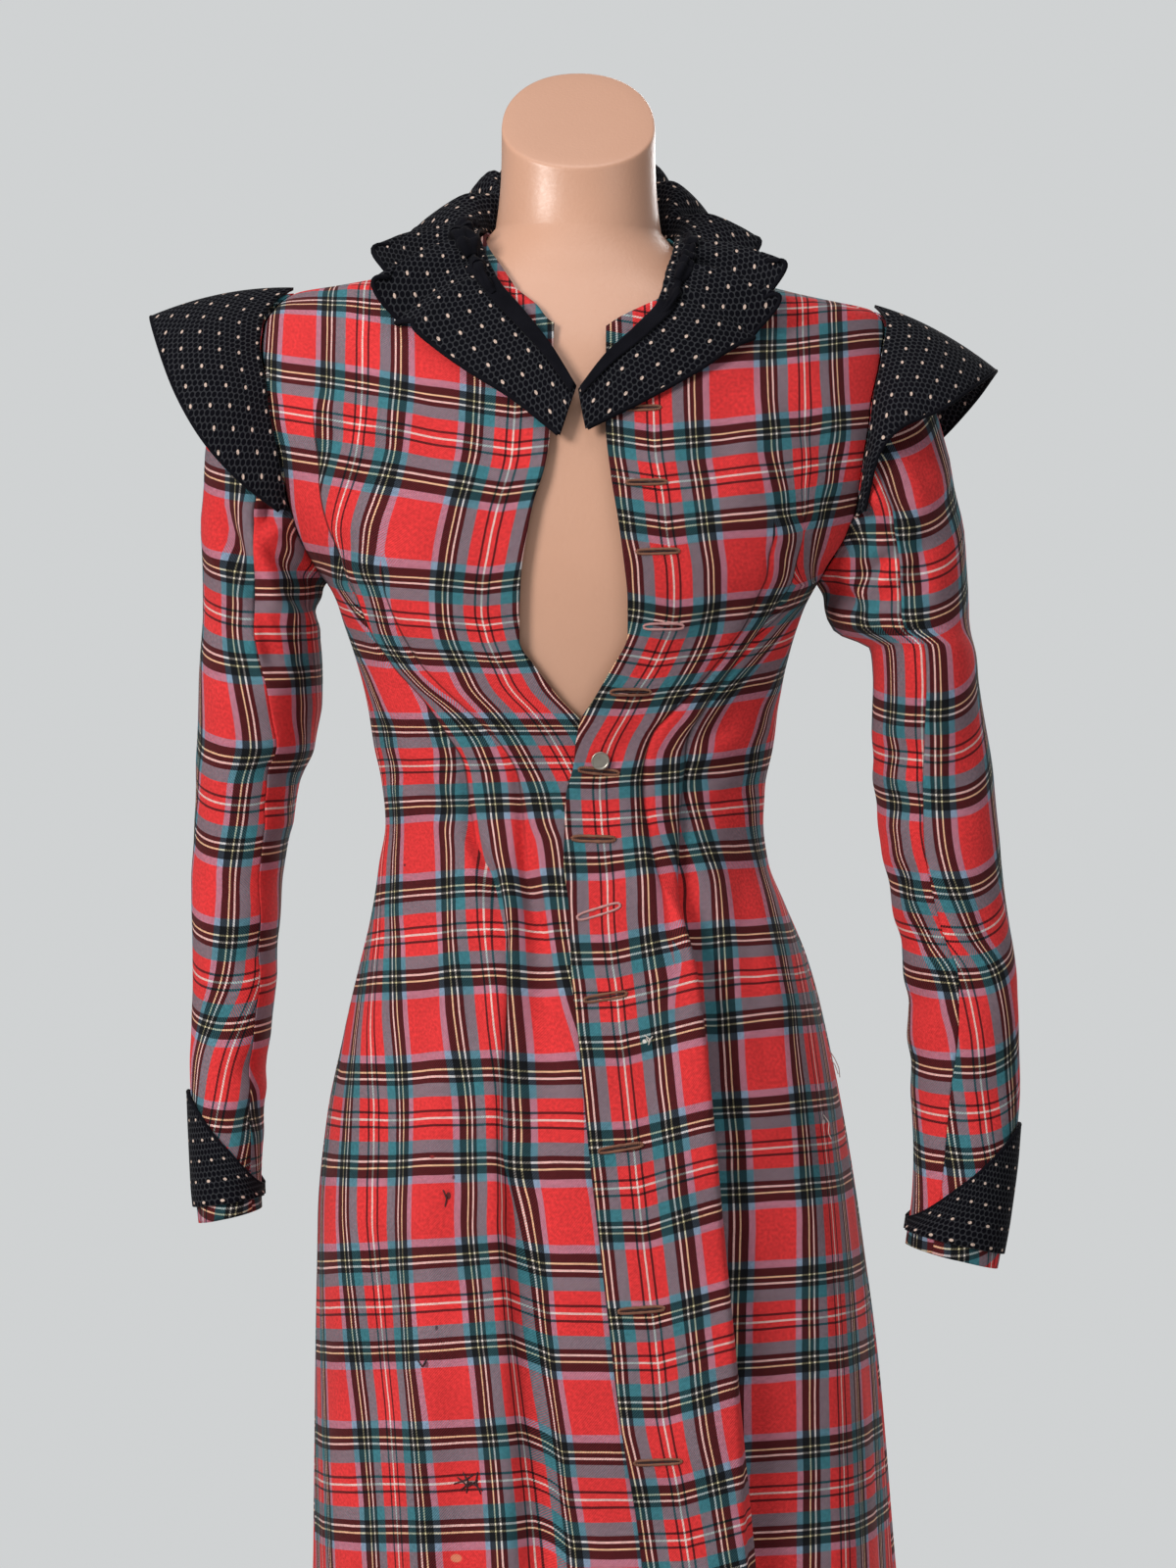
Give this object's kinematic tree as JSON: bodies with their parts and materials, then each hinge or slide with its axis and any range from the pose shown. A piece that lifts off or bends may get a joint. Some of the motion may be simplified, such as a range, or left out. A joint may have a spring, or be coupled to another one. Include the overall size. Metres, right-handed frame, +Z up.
{
  "type": "walking coat on a dress form",
  "caption": "Fitted ankle-length tartan walking coat with ruffled velvet collar, shoulder caps and cuffs, worn by a limbless dress form on a pole and round base.",
  "frame": {"origin": "centre of the base's underside", "axes": "+Z up, the coat's front faces -Y, +X is the wearer's left"},
  "size_m": [0.5432, 0.4729, 1.5145],
  "materials": {
    "tartan_wool": "matt woven wool twill",
    "cut_velvet": "cut velvet pile on a plain ground",
    "plain_velvet": "plain velvet pile",
    "form_paint": "soft gloss paint",
    "button_metal": "dull worn metal",
    "pole_steel": "satin",
    "base_enamel": "satin enamel"
  },
  "bodies": {
    "root": {"front_right": "tartan_wool", "front_left": "tartan_wool", "back_right": "tartan_wool", "back_left": "tartan_wool", "sleeve_right_top": "tartan_wool", "sleeve_right_under": "tartan_wool", "sleeve_left_top": "tartan_wool", "sleeve_left_under": "tartan_wool", "cuff_right": "cut_velvet", "cuff_left": "cut_velvet", "cap_right": "cut_velvet", "cap_left": "cut_velvet", "collar": "cut_velvet", "collar_binding_right": "plain_velvet", "collar_binding_left": "plain_velvet", "button": "button_metal", "dress_form": "form_paint", "pole": "pole_steel", "base": "base_enamel"}
  },
  "joints": []
}
